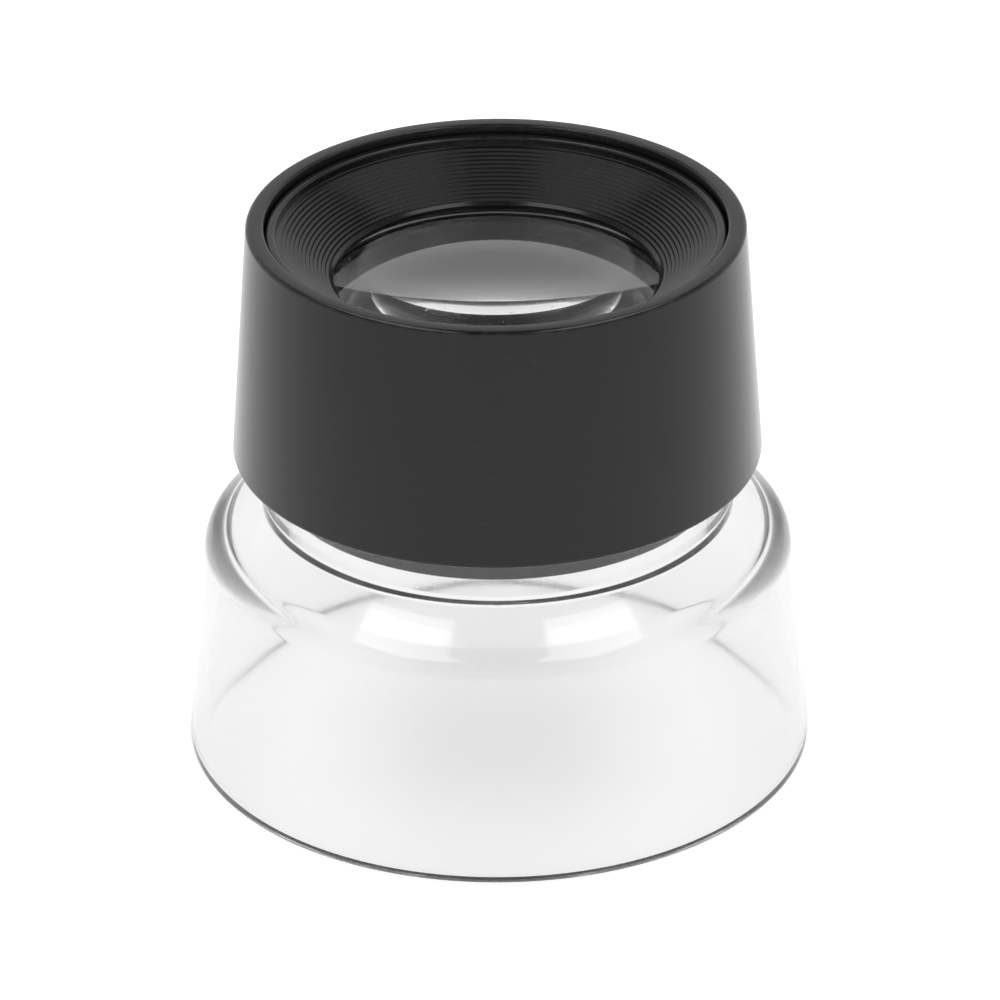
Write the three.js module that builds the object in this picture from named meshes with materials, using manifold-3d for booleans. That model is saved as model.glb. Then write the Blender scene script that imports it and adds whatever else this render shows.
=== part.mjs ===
// A focusing stand loupe: a clear acrylic skirt that stands on the film, and a black barrel with
// the lenses that screws up and down on the skirt's neck. Millimetres, +Z up, origin at the centre
// of the foot rim, on the surface that the loupe stands on.
import * as THREE from "three";
import { mergeVertices } from "three/addons/utils/BufferGeometryUtils.js";
import Module from "manifold-3d";

const wasm = await Module();
wasm.setup();

// ---- driving dimensions ----
const SEGMENTS = 48; // flats round every turned piece
const GAP = 0.15; // between two fixed pieces that touch
const FOOT_R = 29.5; // outside of the skirt at its foot
const SHOULDER_R = 27.4; // outside of the skirt where the shoulder starts
const SHOULDER_Z = 19.8;
const SHOULDER_FILLET = 2.6;
const SKIRT_WALL = 2.3;
const INNER_FILLET = 2.3; // under the shoulder, inside
const FOOT_BORE_R = 27.7; // inside of the skirt, at its foot
const FOOT_BEVEL = 0.5;
const BORE_MOUTH_Z = 25.3; // where the neck's bore opens into the skirt
const BEVEL = 0.3; // on most turned edges
const NECK_R = 22.1; // smooth land of the neck that shows below the barrel
const NECK_FOOT_Z = 24.9;
const NECK_BORE_R = 19.6;
const NECK_TOP_Z = 39.6;
const LAND_TOP_Z = 30.3; // the land ends and the threaded length begins
const THREAD_ROOT_R = 21.6;
const THREAD_CREST_R = 22.35;
const THREAD_STARTS = 3;
const THREAD_LEAD = 9; // rise in one turn
const RIB_BOTTOM_Z = 32.0; // centre line of each rib at its low end
const RIB_TURN = 0.72; // share of a turn that each rib covers
const RIB_FOOT_HALF = 0.95; // half height of a rib at its foot
const RIB_CREST_HALF = 0.6;
const ROOTED = 0.4; // how far a rib or lug reaches into the wall that it stands on
const BARREL_BOTTOM_Z = 30.1;
const BARREL_TOP_Z = 53;
const BARREL_BOTTOM_R = 24.7;
const BARREL_TOP_R = 23;
const BARREL_BORE_R = 22.65;
const RIM_FILLET = 0.4;
const RECESS_R = 21.3; // bore of the barrel's top, which takes the eye funnel
const LEDGE_TOP_Z = 46.3;
const LEDGE_BOTTOM_Z = 44.9;
const LUG_TIP_R = 21.9;
const LUG_Z = 36.8; // centre of the barrel's lugs
const LUG_TURN = 0.12;
const LUG_FOOT_HALF = 0.8;
const LUG_CREST_HALF = 0.5;
const CELL_R = 19.3; // outside of the lens cell
const CELL_BOTTOM_Z = 26.5;
const FLANGE_TOP_Z = 47.4; // top of the cell
const FLANGE_BORE_R = 19.2;
const LENS_SEAT_Z = 46.4; // floor of the flange's bore
const LENS_R = 16.5;
const UPPER_EDGE_TOP_Z = 46.2;
const UPPER_EDGE = 2.3;
const UPPER_TOP_CURVE = 50;
const LOWER_EDGE_TOP_Z = 32;
const LOWER_EDGE = 2.5;
const LOWER_TOP_CURVE = 43;
const EYE_R = 15; // clear opening of the eye funnel
const FUNNEL_TOP_Z = 52.2;
const FUNNEL_SKIN_R = 19.6; // inside of the funnel's outer wall
const CONE_TOP = [20, 51.3]; // radius and height where the grooved cone starts
const CONE_FOOT = [15.35, 47.85];
const GROOVES = 12;

// ---- materials ----
const blackPlastic = new THREE.MeshStandardMaterial({ color: 0x252527, roughness: 0.42, metalness: 0 });
const mattBlack = new THREE.MeshStandardMaterial({ color: 0x161617, roughness: 0.8, metalness: 0 });
const rubber = new THREE.MeshStandardMaterial({ color: 0x101010, roughness: 0.9, metalness: 0 });
const clearAcrylic = new THREE.MeshStandardMaterial({
  color: 0xf2f4f4, roughness: 0.05, metalness: 0, transparent: true, opacity: 0.35,
});
const lensGlass = new THREE.MeshStandardMaterial({
  color: 0xf4f7f6, roughness: 0.02, metalness: 0, transparent: true, opacity: 0.35,
});

// ---- shape helpers ----

// Points of an arc in the (radius, height) plane, from angle a0 to a1 in degrees.
function arc(r, z, radius, a0, a1, steps) {
  const points = [];
  for (let i = 0; i <= steps; i++) {
    const a = THREE.MathUtils.degToRad(a0 + ((a1 - a0) * i) / steps);
    points.push([r + radius * Math.cos(a), z + radius * Math.sin(a)]);
  }
  return points;
}

// A solid turned about Z from an outline of [radius, height] points, counterclockwise with the
// radius to the right. An outline that doesn't touch the axis is closed back to its first point.
function turned(outline) {
  const points = outline.map(([r, z]) => new THREE.Vector2(r, z));
  if (outline[0][0] > 0) points.push(points[0].clone());
  return new THREE.LatheGeometry(points, SEGMENTS).rotateX(Math.PI / 2);
}

// A helical bar: section is a closed loop of [radius, height above the helix], swept by turn.
function helicalBar(section, startAngle, startZ, turn) {
  const steps = Math.max(3, Math.round(turn * SEGMENTS));
  const n = section.length;
  const position = [];
  const index = [];
  for (let i = 0; i <= steps; i++) {
    const a = startAngle + (2 * Math.PI * turn * i) / steps;
    const rise = startZ + (THREAD_LEAD * turn * i) / steps;
    for (const [r, z] of section) position.push(r * Math.cos(a), r * Math.sin(a), rise + z);
  }
  for (let i = 0; i < steps; i++) {
    for (let j = 0; j < n; j++) {
      const a = i * n + j;
      const b = i * n + ((j + 1) % n);
      index.push(a, a + n, b, b, a + n, b + n);
    }
  }
  const last = steps * n;
  for (let j = 1; j < n - 1; j++) {
    index.push(0, j, j + 1);
    index.push(last, last + j + 1, last + j);
  }
  return new THREE.BufferGeometry()
    .setAttribute("position", new THREE.Float32BufferAttribute(position, 3))
    .setIndex(index);
}

function solid(geometry) {
  const plain = geometry.clone();
  plain.deleteAttribute("normal");
  plain.deleteAttribute("uv");
  const merged = mergeVertices(plain, 1e-4);
  const made = new wasm.Manifold(
    new wasm.Mesh({
      numProp: 3,
      vertProperties: new Float32Array(merged.attributes.position.array),
      triVerts: new Uint32Array(merged.index.array),
    }),
  );
  return made;
}

function geometryOf(made) {
  const mesh = made.getMesh();
  const geometry = new THREE.BufferGeometry()
    .setAttribute("position", new THREE.BufferAttribute(mesh.vertProperties, 3))
    .setIndex(new THREE.BufferAttribute(mesh.triVerts, 1));
  geometry.computeVertexNormals();
  return geometry;
}

// Height of a spherical lens face above its edge, at distance r from the axis.
function crown(curve, r) {
  return Math.sqrt(curve * curve - r * r) - Math.sqrt(curve * curve - LENS_R * LENS_R);
}

// A plano-convex lens, flat below, from its edge height, edge thickness and face radius.
function lens(edgeTopZ, edge, curve) {
  const steps = 7;
  const outline = [[0, edgeTopZ - edge], [LENS_R, edgeTopZ - edge]];
  for (let i = steps; i >= 0; i--) {
    const r = (LENS_R * i) / steps;
    outline.push([r, edgeTopZ + crown(curve, r)]);
  }
  return turned(outline);
}

// ---- clear skirt ----
function clearSkirt() {
  const slopeOuter = [NECK_R + 0.4, NECK_FOOT_Z - 0.25];
  const body = solid(
    turned([
      [FOOT_BORE_R, 0],
      [FOOT_R - FOOT_BEVEL, 0],
      [FOOT_R, FOOT_BEVEL],
      ...arc(SHOULDER_R - SHOULDER_FILLET, SHOULDER_Z, SHOULDER_FILLET, 5, 55, 4),
      slopeOuter,
      [NECK_R, NECK_FOOT_Z + 0.2],
      [NECK_R, LAND_TOP_Z],
      [THREAD_ROOT_R, LAND_TOP_Z + 0.5],
      [THREAD_ROOT_R, NECK_TOP_Z - BEVEL],
      [THREAD_ROOT_R - BEVEL, NECK_TOP_Z],
      [NECK_BORE_R + BEVEL, NECK_TOP_Z],
      [NECK_BORE_R, NECK_TOP_Z - BEVEL],
      [NECK_BORE_R, BORE_MOUTH_Z],
      [NECK_BORE_R + 0.5, BORE_MOUTH_Z - 0.85],
      ...arc(SHOULDER_R - SKIRT_WALL - INNER_FILLET, SHOULDER_Z, INNER_FILLET, 56, 5, 4),
      [FOOT_BORE_R - 0.15, 0.4],
    ]),
  );
  const rib = [
    [THREAD_ROOT_R - ROOTED, -RIB_FOOT_HALF],
    [THREAD_ROOT_R, -RIB_FOOT_HALF],
    [THREAD_CREST_R, -RIB_CREST_HALF],
    [THREAD_CREST_R, RIB_CREST_HALF],
    [THREAD_ROOT_R, RIB_FOOT_HALF],
    [THREAD_ROOT_R - ROOTED, RIB_FOOT_HALF],
  ];
  let made = body;
  for (let k = 0; k < THREAD_STARTS; k++) {
    const angle = (2 * Math.PI * k) / THREAD_STARTS;
    made = made.add(solid(helicalBar(rib, angle, RIB_BOTTOM_Z, RIB_TURN)));
  }
  return geometryOf(made);
}

// ---- barrel ----
function barrelShell() {
  const body = solid(
    turned([
      [BARREL_BORE_R + 0.3, BARREL_BOTTOM_Z],
      [BARREL_BOTTOM_R - 0.4, BARREL_BOTTOM_Z],
      [BARREL_BOTTOM_R, BARREL_BOTTOM_Z + 0.4],
      ...arc(BARREL_TOP_R - RIM_FILLET, BARREL_TOP_Z - RIM_FILLET, RIM_FILLET, 0, 90, 4),
      [RECESS_R + 0.3, BARREL_TOP_Z],
      [RECESS_R, BARREL_TOP_Z - 0.3],
      [RECESS_R, LEDGE_TOP_Z],
      [CELL_R + GAP, LEDGE_TOP_Z],
      [CELL_R + GAP, LEDGE_BOTTOM_Z],
      [BARREL_BORE_R - 0.6, LEDGE_BOTTOM_Z],
      [BARREL_BORE_R, LEDGE_BOTTOM_Z - 0.6],
      [BARREL_BORE_R, BARREL_BOTTOM_Z + 0.3],
    ]),
  );
  const lug = [
    [BARREL_BORE_R + ROOTED, -LUG_FOOT_HALF],
    [BARREL_BORE_R + ROOTED, LUG_FOOT_HALF],
    [BARREL_BORE_R, LUG_FOOT_HALF],
    [LUG_TIP_R, LUG_CREST_HALF],
    [LUG_TIP_R, -LUG_CREST_HALF],
    [BARREL_BORE_R, -LUG_FOOT_HALF],
  ];
  // Each lug starts on the helix half way between two of the neck's ribs.
  const between = THREAD_LEAD / THREAD_STARTS / 2;
  const climbed = (LUG_Z - RIB_BOTTOM_Z - between) / THREAD_LEAD - LUG_TURN / 2;
  let made = body;
  for (let k = 0; k < THREAD_STARTS; k++) {
    const angle = 2 * Math.PI * (k / THREAD_STARTS + climbed);
    const z = RIB_BOTTOM_Z + between + THREAD_LEAD * climbed;
    made = made.add(solid(helicalBar(lug, angle, z, LUG_TURN)));
  }
  return geometryOf(made);
}

// The grooved cone that the eye looks into; it clamps the cell's flange and the upper lens.
function eyeFunnel() {
  const steps = [];
  for (let i = 0; i < GROOVES; i++) {
    const at = (t) => CONE_TOP.map((start, axis) => start + (CONE_FOOT[axis] - start) * t);
    const [r, z] = at(i / GROOVES);
    const [nextR] = at((i + 1) / GROOVES);
    steps.push([r, z], [nextR + 0.07, z - 0.03]);
  }
  const outerR = RECESS_R - GAP;
  return turned([
    [EYE_R, 47.1],
    [LENS_R - 0.1, 46.7 + GAP],
    [LENS_R + 0.3, 46.9],
    [FUNNEL_SKIN_R, 49.2],
    [FUNNEL_SKIN_R, FLANGE_TOP_Z + GAP],
    [outerR, FLANGE_TOP_Z + GAP],
    [outerR, FUNNEL_TOP_Z - BEVEL],
    [outerR - 0.25, FUNNEL_TOP_Z],
    [outerR - 0.55, FUNNEL_TOP_Z],
    [20.3, FUNNEL_TOP_Z - BEVEL],
    [20.2, 51.35],
    ...steps,
    CONE_FOOT,
    [EYE_R, 47.6],
  ]);
}

// ---- lens cell and its ring ----
const RING_GROOVE_Z = 35.4; // middle of the friction ring's groove
const RING_GROOVE_HALF = 0.7;
const RING_GROOVE_DEPTH = 0.8;
const SEAT_R = LENS_R + GAP; // bore that the lenses and the spacer drop into
const THREAD_BORE_R = 17; // bore for the retaining ring

function lensCell() {
  return turned([
    [THREAD_BORE_R, CELL_BOTTOM_Z],
    [CELL_R - BEVEL, CELL_BOTTOM_Z],
    [CELL_R, CELL_BOTTOM_Z + BEVEL],
    [CELL_R, RING_GROOVE_Z - RING_GROOVE_HALF],
    [CELL_R - RING_GROOVE_DEPTH, RING_GROOVE_Z - RING_GROOVE_HALF],
    [CELL_R - RING_GROOVE_DEPTH, RING_GROOVE_Z + RING_GROOVE_HALF],
    [CELL_R, RING_GROOVE_Z + RING_GROOVE_HALF],
    [CELL_R, LEDGE_TOP_Z + GAP],
    [RECESS_R - GAP, LEDGE_TOP_Z + GAP],
    [RECESS_R - GAP, FLANGE_TOP_Z],
    [FLANGE_BORE_R, FLANGE_TOP_Z],
    [FLANGE_BORE_R, LENS_SEAT_Z],
    [SEAT_R, LENS_SEAT_Z],
    [SEAT_R, LOWER_EDGE_TOP_Z - LOWER_EDGE - GAP],
    [THREAD_BORE_R, LOWER_EDGE_TOP_Z - LOWER_EDGE - GAP],
  ]);
}

function retainingRing() {
  const topZ = LOWER_EDGE_TOP_Z - LOWER_EDGE - 2 * GAP;
  const bottomZ = CELL_BOTTOM_Z + 0.4;
  const ring = solid(
    turned([
      [15.6, bottomZ],
      [THREAD_BORE_R - GAP, bottomZ],
      [THREAD_BORE_R - GAP, topZ],
      [15, topZ],
      [15, bottomZ + 0.6],
    ]),
  );
  // Two notches for a pin spanner.
  const slot = new THREE.BoxGeometry(2 * THREAD_BORE_R + 2, 1.4, 1.6).translate(0, 0, bottomZ);
  return geometryOf(ring.subtract(solid(slot)));
}

// An O-ring, round in section, that drags on the neck's bore.
function frictionRing() {
  const radius = 0.5;
  const outline = arc(NECK_BORE_R - 0.05 - radius, RING_GROOVE_Z, radius, 0, 300, 5);
  return turned(outline);
}

function lensSpacer() {
  const bottomZ = LOWER_EDGE_TOP_Z + GAP;
  const topZ = UPPER_EDGE_TOP_Z - UPPER_EDGE - GAP;
  return turned([
    [15.7, bottomZ + 0.5],
    [16.1, bottomZ + 0.15],
    [LENS_R, bottomZ],
    [LENS_R, topZ],
    [16, topZ],
    [15.7, topZ - 0.6],
  ]);
}

// ---- assembly ----
const loupe = new THREE.Group();

function part(name, geometry, material) {
  const mesh = new THREE.Mesh(geometry, material);
  mesh.name = name;
  loupe.add(mesh);
}

part("clear_skirt", clearSkirt(), clearAcrylic);
part("barrel_shell", barrelShell(), blackPlastic);
part("eye_funnel", eyeFunnel(), blackPlastic);
part("lens_cell", lensCell(), mattBlack);
part("friction_ring", frictionRing(), rubber);
part("lens_retaining_ring", retainingRing(), mattBlack);
part("upper_lens", lens(UPPER_EDGE_TOP_Z, UPPER_EDGE, UPPER_TOP_CURVE), lensGlass);
part("lens_spacer", lensSpacer(), mattBlack);
part("lower_lens", lens(LOWER_EDGE_TOP_Z, LOWER_EDGE, LOWER_TOP_CURVE), lensGlass);

export default loupe;
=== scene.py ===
import math

import bmesh
import bpy
from mathutils import Matrix, Vector


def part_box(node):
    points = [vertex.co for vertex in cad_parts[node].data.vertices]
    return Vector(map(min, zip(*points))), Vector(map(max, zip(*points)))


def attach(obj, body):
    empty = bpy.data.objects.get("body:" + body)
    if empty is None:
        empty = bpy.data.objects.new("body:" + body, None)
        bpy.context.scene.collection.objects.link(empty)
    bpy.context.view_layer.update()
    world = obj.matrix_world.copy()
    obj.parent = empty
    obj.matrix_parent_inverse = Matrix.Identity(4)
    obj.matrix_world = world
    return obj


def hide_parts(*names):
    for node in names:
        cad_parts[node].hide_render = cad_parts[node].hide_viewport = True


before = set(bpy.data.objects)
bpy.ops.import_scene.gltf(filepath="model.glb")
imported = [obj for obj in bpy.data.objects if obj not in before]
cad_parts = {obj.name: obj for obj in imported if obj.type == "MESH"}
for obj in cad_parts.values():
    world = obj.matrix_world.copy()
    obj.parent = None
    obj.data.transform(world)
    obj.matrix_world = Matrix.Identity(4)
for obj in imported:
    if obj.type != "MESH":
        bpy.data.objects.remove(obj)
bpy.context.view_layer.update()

# A focusing stand loupe: a clear acrylic skirt with a threaded neck, and a black barrel that holds
# two lenses, their cell and a grooved eye funnel. Outlines are in millimetres, as the real parts
# are drawn; MM turns them into the frame's metres.
MM = 0.001
SEGMENTS = 240
GAP = 0.15  # between two fixed pieces that touch


def mm(node):
    """The lowest and highest corner of a CAD node, in millimetres."""
    low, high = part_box(node)
    return Vector(low) / MM, Vector(high) / MM


# ---- sizes that the frame gives ----
_, skirt_high = mm("clear_skirt")
barrel_low, barrel_high = mm("barrel_shell")
funnel_low, funnel_high = mm("eye_funnel")
cell_low, cell_high = mm("lens_cell")
ring_low, ring_high = mm("lens_retaining_ring")
friction_low, friction_high = mm("friction_ring")
spacer_low, spacer_high = mm("lens_spacer")
upper_low, upper_high = mm("upper_lens")
lower_low, lower_high = mm("lower_lens")

# ---- sizes that it doesn't ----
SHOULDER_R = 27.4
SHOULDER_Z = 19.8
SHOULDER_FILLET = 2.6
SKIRT_WALL = 2.3
INNER_FILLET = 2.3
NECK_R = 22.1
NECK_BORE_R = 19.6
NECK_FOOT_Z = 24.9
LAND_TOP_Z = 30.3
THREAD_ROOT_R = 21.6
THREAD_CREST_R = 22.35
THREAD_STARTS = 3
THREAD_LEAD = 9.0
RIB_BOTTOM_Z = 32.0
RIB_TURN = 0.72
BARREL_TOP_R = 23.0
BARREL_BORE_R = 22.65
RIM_FILLET = 0.4
RECESS_R = 21.3
LEDGE_TOP_Z = 46.3
LEDGE_BOTTOM_Z = 44.9
LUG_TIP_R = 21.9
LUG_Z = 36.8
LUG_TURN = 0.12
CELL_R = 19.3
FRICTION_GROOVE_HALF = 0.7
THREAD_BORE_R = 17.0
RIDGE_STEP = 0.22  # between the cell's fine thread ridges
RING_RIDGE_STEP = 0.2
EYE_R = 15.0
GROOVES = 13
SPANNER_SLOT = 1.4
UPPER_EDGE_TOP_Z = 46.2
LOWER_EDGE_TOP_Z = 32.0


# ---- camera ----
def make_camera():
    """A long lens, looking along +Y and 28 degrees down, as the photographer stood."""
    pitch = math.radians(28.07)
    roll = math.radians(-0.37)
    target = Vector((0.205, 0, 24.055)) * MM
    distance = 0.5633
    data = bpy.data.cameras.new("camera")
    data.lens = 216
    data.sensor_width = 36
    data.clip_start = 0.01
    data.clip_end = 20
    camera = bpy.data.objects.new("camera", data)
    bpy.context.collection.objects.link(camera)
    camera.location = target + Vector((0, -math.cos(pitch), math.sin(pitch))) * distance
    look = Matrix.Rotation(math.pi / 2 - pitch, 4, "X") @ Matrix.Rotation(roll, 4, "Z")
    camera.rotation_euler = look.to_euler()
    bpy.context.scene.camera = camera


make_camera()


# ---- shape helpers ----
def rounded(corners, steps=5):
    """A closed outline of (radius, height, share of edge) from (radius, height, fillet) corners.

    The share of edge rises from 0 at a rounded corner's ends to 1 in its middle, and is 0 on the
    flats between, so that a material can wear along the edges only.
    """
    outline = []
    for i, (r, z, size) in enumerate(corners):
        here = Vector((r, z))
        if size == 0:
            outline.append((r, z, 0.0))
            continue
        back = Vector(corners[i - 1][:2]) - here
        ahead = Vector(corners[(i + 1) % len(corners)][:2]) - here
        half = back.angle(ahead) / 2
        reach = min(size / math.tan(half), 0.48 * back.length, 0.48 * ahead.length)
        radius = reach * math.tan(half)
        middle = (back.normalized() + ahead.normalized()).normalized()
        centre = here + middle * (radius / math.sin(half))
        start = here + back.normalized() * reach - centre
        end = here + ahead.normalized() * reach - centre
        a0 = math.atan2(start.y, start.x)
        turn = math.remainder(math.atan2(end.y, end.x) - a0, 2 * math.pi)
        for k in range(steps + 1):
            a = a0 + turn * k / steps
            share = math.sin(math.pi * k / steps)
            outline.append((centre.x + radius * math.cos(a), centre.y + radius * math.sin(a), share))
    return outline


def turned(name, outline, warp=None, angles=None):
    """A mesh turned about Z from an outline, counterclockwise with the radius to the right.

    warp(angle, radius, height) may move each point, and angles may say where the columns stand.
    """
    angles = angles or [2 * math.pi * k / SEGMENTS for k in range(SEGMENTS)]
    work = bmesh.new()
    edge = work.verts.layers.float.new("edge")
    on_axis = {}
    columns = []
    for a in angles:
        column = []
        for i, (r, z, share) in enumerate(outline):
            if r == 0 and i in on_axis:
                column.append(on_axis[i])
                continue
            if warp:
                r, z = warp(a, r, z)
            vert = work.verts.new(Vector((r * math.cos(a), r * math.sin(a), z)) * MM)
            vert[edge] = share
            column.append(vert)
            if r == 0:
                on_axis[i] = vert
        columns.append(column)
    count = len(outline)
    for here, there in zip(columns, columns[1:] + columns[:1]):
        for i in range(count):
            j = (i + 1) % count
            ring = [here[i], there[i], there[j], here[j]]
            ring = [v for k, v in enumerate(ring) if v is not ring[k - 1]]
            if len(ring) > 2:
                work.faces.new(ring)
    bmesh.ops.recalc_face_normals(work, faces=work.faces)
    mesh = bpy.data.meshes.new(name)
    work.to_mesh(mesh)
    work.free()
    mesh.polygons.foreach_set("use_smooth", [True] * len(mesh.polygons))
    mesh.set_sharp_from_angle(angle=math.radians(34))
    made = bpy.data.objects.new(name, mesh)
    bpy.context.collection.objects.link(made)
    return made


def install(piece, node, body, material):
    """The piece stands for a CAD node and moves with its body."""
    piece.data.materials.append(material)
    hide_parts(node)
    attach(piece, body)


def smoothstep(value, low, high):
    t = min(max((value - low) / (high - low), 0), 1)
    return t * t * (3 - 2 * t)


def helix_bump(angle, z, low_z, turn, start, root_half, crest_half):
    """How far, from 0 to 1, a point is up the side of one of three equal helical ribs."""
    best = 0.0
    for k in range(THREAD_STARTS):
        along = (angle - start) / (2 * math.pi) - k / THREAD_STARTS
        along -= math.floor(along)
        if along > turn:
            continue
        off = abs(z - low_z - THREAD_LEAD * along)
        end = min(along, turn - along) * 2 * math.pi * THREAD_ROOT_R
        best = max(best, (1 - smoothstep(off, crest_half, root_half)) * smoothstep(end, 0, 0.8))
    return best


def heights(low, high, step):
    """Evenly spaced heights from low to high, at most step apart."""
    count = math.ceil(abs(high - low) / step)
    return [low + (high - low) * k / count for k in range(count + 1)]


# ---- materials ----
class Graph:
    """A material and short ways to put nodes in it. Lengths are in millimetres."""

    def __init__(self, name):
        self.material = bpy.data.materials.new(name)
        self.material.use_nodes = True
        self.tree = self.material.node_tree
        self.tree.nodes.clear()
        self.place = self.add("ShaderNodeTexCoord").outputs["Object"]

    def add(self, kind, settings=None, **inputs):
        made = self.tree.nodes.new(kind)
        for key, value in (settings or {}).items():
            setattr(made, key, value)
        for key, value in inputs.items():
            socket = made.inputs[key.replace("_", " ")]
            if isinstance(value, bpy.types.NodeSocket):
                self.tree.links.new(value, socket)
            else:
                socket.default_value = value
        return made

    def noise(self, size, detail=3.0, stretch=(1, 1, 1), turn=(0, 0, 0)):
        """Noise with features of about this size, stretched along the axes."""
        place = self.add(
            "ShaderNodeMapping", Vector=self.place, Scale=[1 / s for s in stretch], Rotation=turn
        ).outputs[0]
        return self.add(
            "ShaderNodeTexNoise", Vector=place, Scale=1 / (size * MM), Detail=detail
        ).outputs[0]

    def remap(self, value, from_low, from_high, to_low, to_high):
        return self.add(
            "ShaderNodeMapRange",
            Value=value,
            From_Min=from_low,
            From_Max=from_high,
            To_Min=to_low,
            To_Max=to_high,
        ).outputs[0]

    def math(self, operation, a, b):
        made = self.add("ShaderNodeMath", {"operation": operation})
        for socket, value in zip(made.inputs, (a, b)):
            if isinstance(value, bpy.types.NodeSocket):
                self.tree.links.new(value, socket)
            else:
                socket.default_value = value
        return made.outputs[0]

    def blend(self, factor, a, b):
        """Colour a where factor is 0 and b where it is 1."""
        made = self.add("ShaderNodeMix", {"data_type": "RGBA"})
        self.tree.links.new(factor, made.inputs[0])
        for socket, value in ((made.inputs[6], a), (made.inputs[7], b)):
            if isinstance(value, bpy.types.NodeSocket):
                self.tree.links.new(value, socket)
            else:
                socket.default_value = (*value, 1)
        return made.outputs[2]

    def bump(self, height, depth, normal=None):
        made = self.add("ShaderNodeBump", Height=height, Strength=1.0, Distance=depth * MM)
        if normal:
            self.tree.links.new(normal, made.inputs["Normal"])
        return made.outputs[0]

    def hairlines(self, turn):
        """Sparse fine scratches that run one way: 1 on a scratch and 0 off it."""
        streak = self.noise(0.09, 1.0, (70, 1, 1), turn)
        return self.remap(streak, 0.735, 0.78, 0, 1)

    def finish(self, shader, volume=None):
        output = self.add("ShaderNodeOutputMaterial", Surface=shader)
        if volume:
            self.tree.links.new(volume, output.inputs["Volume"])
        return self.material


def black_plastic():
    """Satin moulded plastic: a fine spark-eroded grain, rubbed smoother where hands hold it."""
    g = Graph("black_plastic")
    grain = g.noise(0.16, 2.0)
    cloud = g.noise(14, 1.0)
    edge = g.add("ShaderNodeAttribute", {"attribute_name": "edge"}).outputs["Fac"]
    rubbed = g.math("MULTIPLY", edge, g.remap(g.noise(1.6, 4.0), 0.42, 0.68, 0, 1))
    scratch = g.math("MAXIMUM", g.hairlines((0.3, 0.5, 0.2)), g.hairlines((1.2, 0.4, 2.0)))
    colour = g.blend(cloud, (0.006, 0.006, 0.0065), (0.0085, 0.0085, 0.009))
    colour = g.blend(rubbed, colour, (0.024, 0.024, 0.025))
    colour = g.blend(scratch, colour, (0.03, 0.03, 0.03))
    rough = g.remap(cloud, 0.3, 0.7, 0.155, 0.175)
    rough = g.math("ADD", rough, g.remap(grain, 0.3, 0.7, -0.008, 0.008))
    rough = g.math("SUBTRACT", rough, g.math("MULTIPLY", edge, 0.06))
    rough = g.math("SUBTRACT", rough, g.math("MULTIPLY", rubbed, 0.04))
    normal = g.bump(grain, 0.0005)
    normal = g.bump(scratch, -0.003, normal)
    shader = g.add(
        "ShaderNodeBsdfPrincipled", Base_Color=colour, Roughness=rough, Normal=normal, IOR=1.38
    )
    return g.finish(shader.outputs[0])


def matt_black():
    """Turned and blacked: fine tool rings, with a dry matt coat."""
    g = Graph("matt_black")
    rings = g.noise(0.12, 1.0, (400, 400, 1))
    speck = g.noise(0.25, 3.0)
    edge = g.add("ShaderNodeAttribute", {"attribute_name": "edge"}).outputs["Fac"]
    bare = g.math("MULTIPLY", edge, g.remap(g.noise(1.1, 4.0), 0.48, 0.7, 0, 1))
    colour = g.blend(speck, (0.014, 0.014, 0.014), (0.024, 0.024, 0.024))
    colour = g.blend(bare, colour, (0.045, 0.045, 0.046))
    rough = g.remap(speck, 0.3, 0.7, 0.55, 0.75)
    normal = g.bump(rings, 0.01)
    normal = g.bump(speck, 0.006, normal)
    shader = g.add("ShaderNodeBsdfPrincipled", Base_Color=colour, Roughness=rough, Normal=normal)
    return g.finish(shader.outputs[0])


def gloss_black():
    """Polished black moulding, as inside the lens tube: slow flow marks and a little haze."""
    g = Graph("gloss_black")
    flow = g.noise(4, 2.0, (1, 1, 3))
    haze = g.noise(1.2, 3.0)
    colour = g.blend(haze, (0.006, 0.006, 0.0062), (0.01, 0.01, 0.0103))
    shader = g.add(
        "ShaderNodeBsdfPrincipled",
        Base_Color=colour,
        Roughness=g.remap(haze, 0.3, 0.7, 0.08, 0.16),
        Normal=g.bump(flow, 0.01),
        IOR=1.5,
    )
    return g.finish(shader.outputs[0])


def black_rubber():
    g = Graph("black_rubber")
    speck = g.noise(0.2, 3.0)
    colour = g.blend(speck, (0.008, 0.008, 0.008), (0.018, 0.018, 0.018))
    rough = g.remap(speck, 0.3, 0.7, 0.4, 0.6)
    shader = g.add(
        "ShaderNodeBsdfPrincipled",
        Base_Color=colour,
        Roughness=rough,
        Normal=g.bump(speck, 0.01),
    )
    return g.finish(shader.outputs[0])


def lets_light_through(g, shader, tint):
    """The shader, but clear to lamps and to bounced light, so that what is behind it is lit."""
    clear = g.add("ShaderNodeBsdfTransparent", Color=tint).outputs[0]
    path = g.add("ShaderNodeLightPath")
    for name in ("Is Diffuse Ray", "Is Shadow Ray"):
        mixed = g.add("ShaderNodeMixShader", Fac=path.outputs[name])
        g.tree.links.new(shader, mixed.inputs[1])
        g.tree.links.new(clear, mixed.inputs[2])
        shader = mixed.outputs[0]
    return shader


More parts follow.
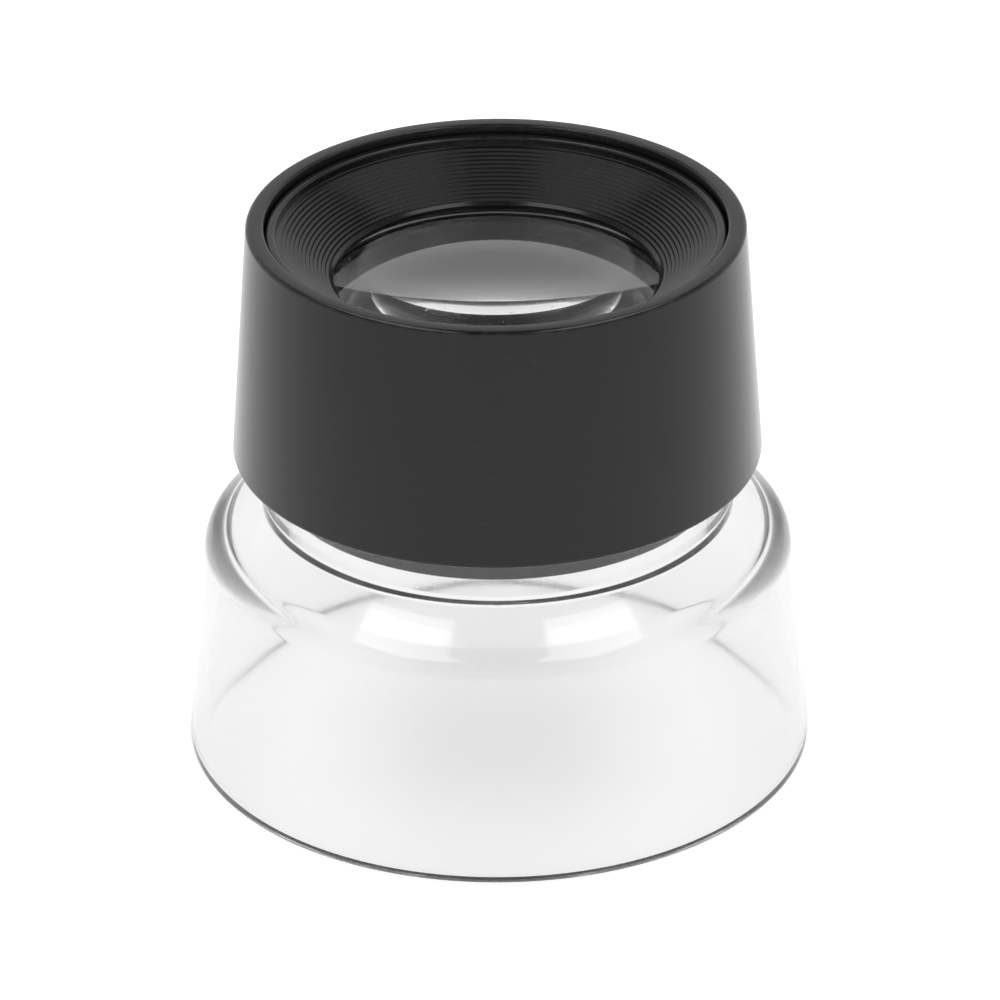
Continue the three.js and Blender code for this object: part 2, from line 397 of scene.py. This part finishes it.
def clear_acrylic():
    """Clear moulded acrylic: a slow waviness from moulding, hairline scratches and faint haze.

    It soaks up a little light along the way, so that its rims and shoulder look grey.
    """
    g = Graph("clear_acrylic")
    flow = g.noise(7, 1.0, (1, 1, 1.6))
    haze = g.noise(3, 4.0)
    edge = g.add("ShaderNodeAttribute", {"attribute_name": "edge"}).outputs["Fac"]
    scratch = g.math("MAXIMUM", g.hairlines((0.9, 0.2, 0.4)), g.hairlines((0.2, 1.1, 1.7)))
    rough = g.remap(haze, 0.35, 0.75, 0.06, 0.1)
    rough = g.math("ADD", rough, g.math("MULTIPLY", scratch, 0.14))
    rough = g.math("ADD", rough, g.math("MULTIPLY", edge, 0.03))
    colour = g.blend(haze, (0.99, 0.99, 0.99), (0.978, 0.979, 0.979))
    normal = g.bump(flow, 0.02)
    normal = g.bump(scratch, -0.001, normal)
    glass = g.add(
        "ShaderNodeBsdfPrincipled",
        Base_Color=colour,
        Roughness=rough,
        Normal=normal,
        IOR=1.49,
        Transmission_Weight=1.0,
    )
    soak = g.add("ShaderNodeVolumeAbsorption", Color=(0.1, 0.1, 0.1, 1), Density=46).outputs[0]
    clear = lets_light_through(g, glass.outputs[0], (0.94, 0.94, 0.94, 1))
    return g.finish(clear, soak)


def lens_glass():
    """Polished optical glass with a trace of dust and wiping marks."""
    g = Graph("lens_glass")
    dust = g.remap(g.noise(0.35, 1.0), 0.72, 0.76, 0, 1)
    smear = g.noise(5, 3.0, (3, 1, 1), (0, 0, 0.6))
    rough = g.remap(smear, 0.4, 0.75, 0.0, 0.02)
    rough = g.math("ADD", rough, g.math("MULTIPLY", dust, 0.2))
    colour = g.blend(smear, (0.995, 1.0, 0.997), (0.985, 0.992, 0.988))
    glass = g.add(
        "ShaderNodeBsdfPrincipled",
        Base_Color=colour,
        Roughness=rough,
        Normal=g.bump(smear, 0.002),
        IOR=1.52,
        Transmission_Weight=1.0,
    )
    return g.finish(lets_light_through(g, glass.outputs[0], (0.9, 0.91, 0.905, 1)))


def ground_glass():
    """The fine-ground edge of a lens: a pale frosted surface."""
    g = Graph("ground_glass")
    grain = g.noise(0.08, 2.0)
    cloud = g.noise(1.5, 3.0)
    shader = g.add(
        "ShaderNodeBsdfPrincipled",
        Base_Color=g.blend(cloud, (0.62, 0.64, 0.63), (0.8, 0.82, 0.81)),
        Roughness=g.remap(grain, 0.3, 0.7, 0.5, 0.7),
        Normal=g.bump(grain, 0.01),
    )
    return g.finish(shader.outputs[0])


def pale_floor():
    g = Graph("pale_floor")
    cloud = g.noise(60, 2.0)
    fine = g.noise(0.8, 2.0)
    colour = g.blend(cloud, (0.74, 0.74, 0.74), (0.78, 0.78, 0.78))
    shader = g.add(
        "ShaderNodeBsdfPrincipled",
        Base_Color=colour,
        Roughness=g.remap(fine, 0.3, 0.7, 0.8, 0.95),
        Normal=g.bump(fine, 0.01),
        Emission_Color=(1.0, 1.0, 1.0, 1.0),
        Emission_Strength=0.54,
    )
    return g.finish(shader.outputs[0])


# ---- pieces ----
def make_skirt():
    """The clear skirt: a tapered wall, a rounded shoulder, a smooth land and a threaded neck."""
    inner_r = SHOULDER_R - SKIRT_WALL
    foot_r = skirt_high.x
    top = skirt_high.z
    shoulder = SHOULDER_Z + SHOULDER_FILLET
    thread = [(THREAD_ROOT_R, z, 0) for z in heights(LAND_TOP_Z + 0.5, top - 0.35, 0.16)]
    corners = [
        (27.7, 0, 0.25),
        (foot_r, 0, 0.3),
        (SHOULDER_R + 0.1, shoulder - 1.1, SHOULDER_FILLET),
        (NECK_R, NECK_FOOT_Z, 0.35),
        (NECK_R, LAND_TOP_Z, 0.12),
        *thread,
        (THREAD_ROOT_R, top, 0.25),
        (NECK_BORE_R, top, 0.25),
        (NECK_BORE_R, 24.8, 0.5),
        (inner_r, 21.2, INNER_FILLET),
        (27.55, 0.35, 0.12),
    ]
    seams = [math.radians(a) for a in (-90, 90)]

    def warp(angle, r, z):
        if LAND_TOP_Z + 0.5 < z < top and r > THREAD_ROOT_R - 0.01:
            rise = helix_bump(angle, z, RIB_BOTTOM_Z, RIB_TURN, 0, 0.95, 0.6)
            return r + (THREAD_CREST_R - THREAD_ROOT_R) * rise, z
        on_neck = r > NECK_R - 0.3 and NECK_FOOT_Z < z < LAND_TOP_Z
        near = min(abs(math.remainder(angle - s, 2 * math.pi)) for s in seams)
        if on_neck and near < 0.01:
            return r + 0.05, z
        return r, z

    return turned("skirt", rounded(corners, 7), warp)


def make_barrel():
    """The barrel: a tapered grip with a rounded rim, a bore with three lugs and a ledge."""
    top = barrel_high.z
    bottom = barrel_low.z
    bottom_r = barrel_high.x
    lug_rows = [(BARREL_BORE_R, z, 0) for z in heights(LUG_Z + 1.6, LUG_Z - 1.6, 0.13)]
    corners = [
        (BARREL_BORE_R, bottom, 0.25),
        (bottom_r, bottom, 0.4),
        (BARREL_TOP_R - 0.02, top, RIM_FILLET),
        (RECESS_R, top, 0.25),
        (RECESS_R, LEDGE_TOP_Z, 0.1),
        (CELL_R + GAP, LEDGE_TOP_Z, 0.1),
        (CELL_R + GAP, LEDGE_BOTTOM_Z, 0.1),
        (BARREL_BORE_R, LEDGE_BOTTOM_Z, 0.6),
        *lug_rows,
    ]
    between = THREAD_LEAD / THREAD_STARTS / 2
    climbed = (LUG_Z - RIB_BOTTOM_Z - between) / THREAD_LEAD - LUG_TURN / 2
    start = 2 * math.pi * climbed
    low_z = RIB_BOTTOM_Z + between + THREAD_LEAD * climbed

    def warp(angle, r, z):
        if abs(r - BARREL_BORE_R) < 0.01 and abs(z - LUG_Z) < 1.7:
            return r - (BARREL_BORE_R - LUG_TIP_R) * helix_bump(
                angle, z, low_z, LUG_TURN, start, 0.8, 0.5
            ), z
        return r, z

    return turned("barrel", rounded(corners, 7), warp)


def make_funnel():
    """The eye funnel: a cone with fine saw-tooth grooves that keep stray light from the eye."""
    top = (20.0, 51.3)
    bottom = (15.35, 47.85)
    outer_r = funnel_high.x
    teeth = []
    for k in range(GROOVES):
        r0 = top[0] + (bottom[0] - top[0]) * k / GROOVES
        r1 = top[0] + (bottom[0] - top[0]) * (k + 1) / GROOVES
        z0 = top[1] + (bottom[1] - top[1]) * k / GROOVES
        teeth += [(r0, z0, 0.05), (r1 + 0.07, z0 - 0.03, 0.05)]
    corners = [
        (EYE_R, 47.1, 0.08),
        (16.4, funnel_low.z, 0.05),
        (16.8, 46.9, 0.05),
        (19.6, 49.2, 0.1),
        (19.6, 47.55, 0.05),
        (outer_r, 47.55, 0.05),
        (outer_r, funnel_high.z, 0.25),
        (20.25, funnel_high.z, 0.25),
        (20.2, 51.35, 0.05),
        *teeth,
        (*bottom, 0.1),
        (EYE_R, 47.6, 0.08),
    ]
    return turned("eye_cup", rounded(corners, 4))


def make_cell():
    """The lens cell: a blacked tube with a flange, and a groove for the friction ring."""
    low = cell_low.z
    groove_z = (friction_low.z + friction_high.z) / 2
    flange_r = cell_high.x
    seat_r = upper_high.x + GAP
    seat_z = lower_low.z - GAP
    ridges = [
        (THREAD_BORE_R + 0.12 * (k % 2), z, 0)
        for k, z in enumerate(heights(seat_z - 0.15, low + 0.4, RIDGE_STEP))
    ]
    corners = [
        (THREAD_BORE_R, low, 0.15),
        (CELL_R, low, 0.3),
        (CELL_R, groove_z - FRICTION_GROOVE_HALF, 0.08),
        (CELL_R - 0.8, groove_z - FRICTION_GROOVE_HALF, 0.05),
        (CELL_R - 0.8, groove_z + FRICTION_GROOVE_HALF, 0.05),
        (CELL_R, groove_z + FRICTION_GROOVE_HALF, 0.08),
        (CELL_R, LEDGE_TOP_Z + GAP, 0.05),
        (flange_r, LEDGE_TOP_Z + GAP, 0.1),
        (flange_r, cell_high.z, 0.1),
        (19.2, cell_high.z, 0.1),
        (19.2, 46.4, 0.05),
        (seat_r, 46.4, 0.08),
        (seat_r, seat_z, 0.05),
        (THREAD_BORE_R, seat_z, 0.05),
        *ridges,
    ]
    return turned("lens_tube", rounded(corners, 4))


def make_retaining_ring():
    """The threaded ring under the lower lens, with two notches for a pin spanner."""
    low = ring_low.z
    high = ring_high.z
    outer = ring_high.x
    ridges = [
        (outer - 0.1 * (k % 2), z, 0)
        for k, z in enumerate(heights(low + 0.25, high - 0.2, RING_RIDGE_STEP))
    ]
    corners = [
        (15.6, low, 0.1),
        (outer, low, 0.12),
        *ridges,
        (outer, high, 0.1),
        (15.0, high, 0.08),
        (15.0, low + 0.6, 0.1),
    ]
    half = math.asin(SPANNER_SLOT / 2 / 16)
    sides = [middle + side * (half + nudge) for middle in (0, math.pi)
             for side in (-1, 1) for nudge in (0, 0.0012)]
    even = [2 * math.pi * k / SEGMENTS for k in range(SEGMENTS)]
    angles = sorted({a % (2 * math.pi) for a in even + sides})
    floor_z = low + 0.8

    def warp(angle, r, z):
        off = abs(math.remainder(angle, math.pi))
        if off <= half + 1e-6 and z < floor_z:
            return r, floor_z
        return r, z

    return turned("lock_ring", rounded(corners, 4), warp, angles)


def make_friction_ring():
    """The O-ring that gives the focusing its drag."""
    radius = (friction_high.z - friction_low.z) / 2
    middle_r = friction_high.x - radius
    middle_z = (friction_low.z + friction_high.z) / 2
    outline = []
    for k in range(20):
        a = 2 * math.pi * k / 20
        outline.append((middle_r + radius * math.cos(a), middle_z + radius * math.sin(a), 0.0))
    return turned("o_ring", outline)


def make_spacer():
    """The smooth moulded tube between the lenses."""
    low = spacer_low.z
    high = spacer_high.z
    outer = spacer_high.x
    corners = [
        (15.7, low + 0.5, 0.2),
        (16.1, low + 0.15, 0.05),
        (outer, low, 0.05),
        (outer, high, 0.08),
        (16, high, 0.08),
        (15.7, high - 0.6, 0.2),
    ]
    return turned("spacer_tube", rounded(corners, 3))


def cap(curve, edge_r, r):
    """Height of a spherical face above its edge, at distance r from the axis."""
    return math.sqrt(curve**2 - r**2) - math.sqrt(curve**2 - edge_r**2)


def make_lens(name, top_edge_z, bottom_z, edge_r, curve):
    """A lens that is flat below and spherical on top, with a ground chamfer at the edge."""
    rings = 36
    chamfer = 0.12
    radii = [(edge_r - chamfer) * k / rings for k in range(rings + 1)]
    outline = [(r, bottom_z, 0.0) for r in radii]
    outline += [(edge_r, bottom_z + chamfer, 1.0), (edge_r, top_edge_z - chamfer, 1.0)]
    outline += [(r, top_edge_z + cap(curve, edge_r, r), 0.0) for r in reversed(radii)]
    return turned(name, outline)


def grind_edge(lens, material):
    """Gives a lens's ground edge, all of it that isn't a polished face, this material."""
    steepest_polished = 0.75  # how far up a polished face points
    lens.data.materials.append(material)
    for face in lens.data.polygons:
        if abs(face.normal.z) < steepest_polished:
            face.material_index = 1


def curve_of(rise, edge_r):
    """The radius of a spherical face that rises this far over its edge."""
    return (edge_r**2 + rise**2) / (2 * rise)


plastic = black_plastic()
matt = matt_black()
gloss = gloss_black()
acrylic = clear_acrylic()
glass = lens_glass()
ground = ground_glass()
rubber = black_rubber()

install(make_skirt(), "clear_skirt", "skirt", acrylic)
install(make_barrel(), "barrel_shell", "barrel", plastic)
install(make_funnel(), "eye_funnel", "barrel", plastic)
install(make_cell(), "lens_cell", "barrel", matt)
install(make_retaining_ring(), "lens_retaining_ring", "barrel", matt)
install(make_friction_ring(), "friction_ring", "barrel", rubber)
install(make_spacer(), "lens_spacer", "lens_pack", gloss)

lens_r = upper_high.x
upper = make_lens(
    "eye_lens",
    UPPER_EDGE_TOP_Z,
    upper_low.z,
    lens_r,
    curve_of(upper_high.z - UPPER_EDGE_TOP_Z, lens_r),
)
install(upper, "upper_lens", "lens_pack", glass)
grind_edge(upper, ground)
lower = make_lens(
    "field_lens",
    LOWER_EDGE_TOP_Z,
    lower_low.z,
    lens_r,
    curve_of(lower_high.z - LOWER_EDGE_TOP_Z, lens_r),
)
install(lower, "lower_lens", "lens_pack", glass)
grind_edge(lower, ground)


# ---- studio ----
FLOOR_HALF = 3  # metres from the middle to each side
FLOOR_DROP = 0.05  # millimetres below the foot, so that the two don't coincide


def make_floor():
    work = bmesh.new()
    bmesh.ops.create_grid(work, x_segments=8, y_segments=8, size=FLOOR_HALF)
    mesh = bpy.data.meshes.new("floor")
    work.to_mesh(mesh)
    work.free()
    made = bpy.data.objects.new("floor", mesh)
    bpy.context.collection.objects.link(made)
    made.location.z = -FLOOR_DROP * MM
    mesh.materials.append(pale_floor())


def softbox(name, place, size, power):
    """A large soft area light overhead, facing down."""
    data = bpy.data.lights.new(name, "AREA")
    data.shape = "RECTANGLE"
    data.size, data.size_y = size
    data.energy = power
    made = bpy.data.objects.new(name, data)
    bpy.context.collection.objects.link(made)
    made.location = place


# Two long strips with a dark gap between, which the shoulder and the lens mirror as two windows.
STRIP_SIZE = (0.35, 1.1)
STRIP_POWER = 3.3
make_floor()
for side, x in (("left", -0.35), ("right", 0.35)):
    softbox(f"softbox_{side}", (x, 0.05, 0.9), STRIP_SIZE, STRIP_POWER)


def make_world():
    """A white tent: bright round the horizon and darker overhead."""
    world = bpy.data.worlds.new("studio")
    bpy.context.scene.world = world
    world.use_nodes = True
    tree = world.node_tree
    place = tree.nodes.new("ShaderNodeTexCoord")
    height = tree.nodes.new("ShaderNodeSeparateXYZ")
    glow = tree.nodes.new("ShaderNodeMapRange")
    glow.interpolation_type = "SMOOTHSTEP"
    for name, value in (("From Min", 0.3), ("From Max", 0.85), ("To Min", 0.95), ("To Max", 0.15)):
        glow.inputs[name].default_value = value
    tree.nodes["Background"].inputs["Color"].default_value = (1, 1, 1, 1)
    tree.links.new(place.outputs["Generated"], height.inputs[0])
    tree.links.new(height.outputs["Z"], glow.inputs["Value"])
    tree.links.new(glow.outputs[0], tree.nodes["Background"].inputs["Strength"])


make_world()
bpy.context.scene.view_settings.view_transform = "Standard"
# Light goes round inside the clear walls many times before it comes out.
cycles = bpy.context.scene.cycles
cycles.max_bounces = 24
cycles.glossy_bounces = 20
cycles.transmission_bounces = 24
cycles.transparent_max_bounces = 24
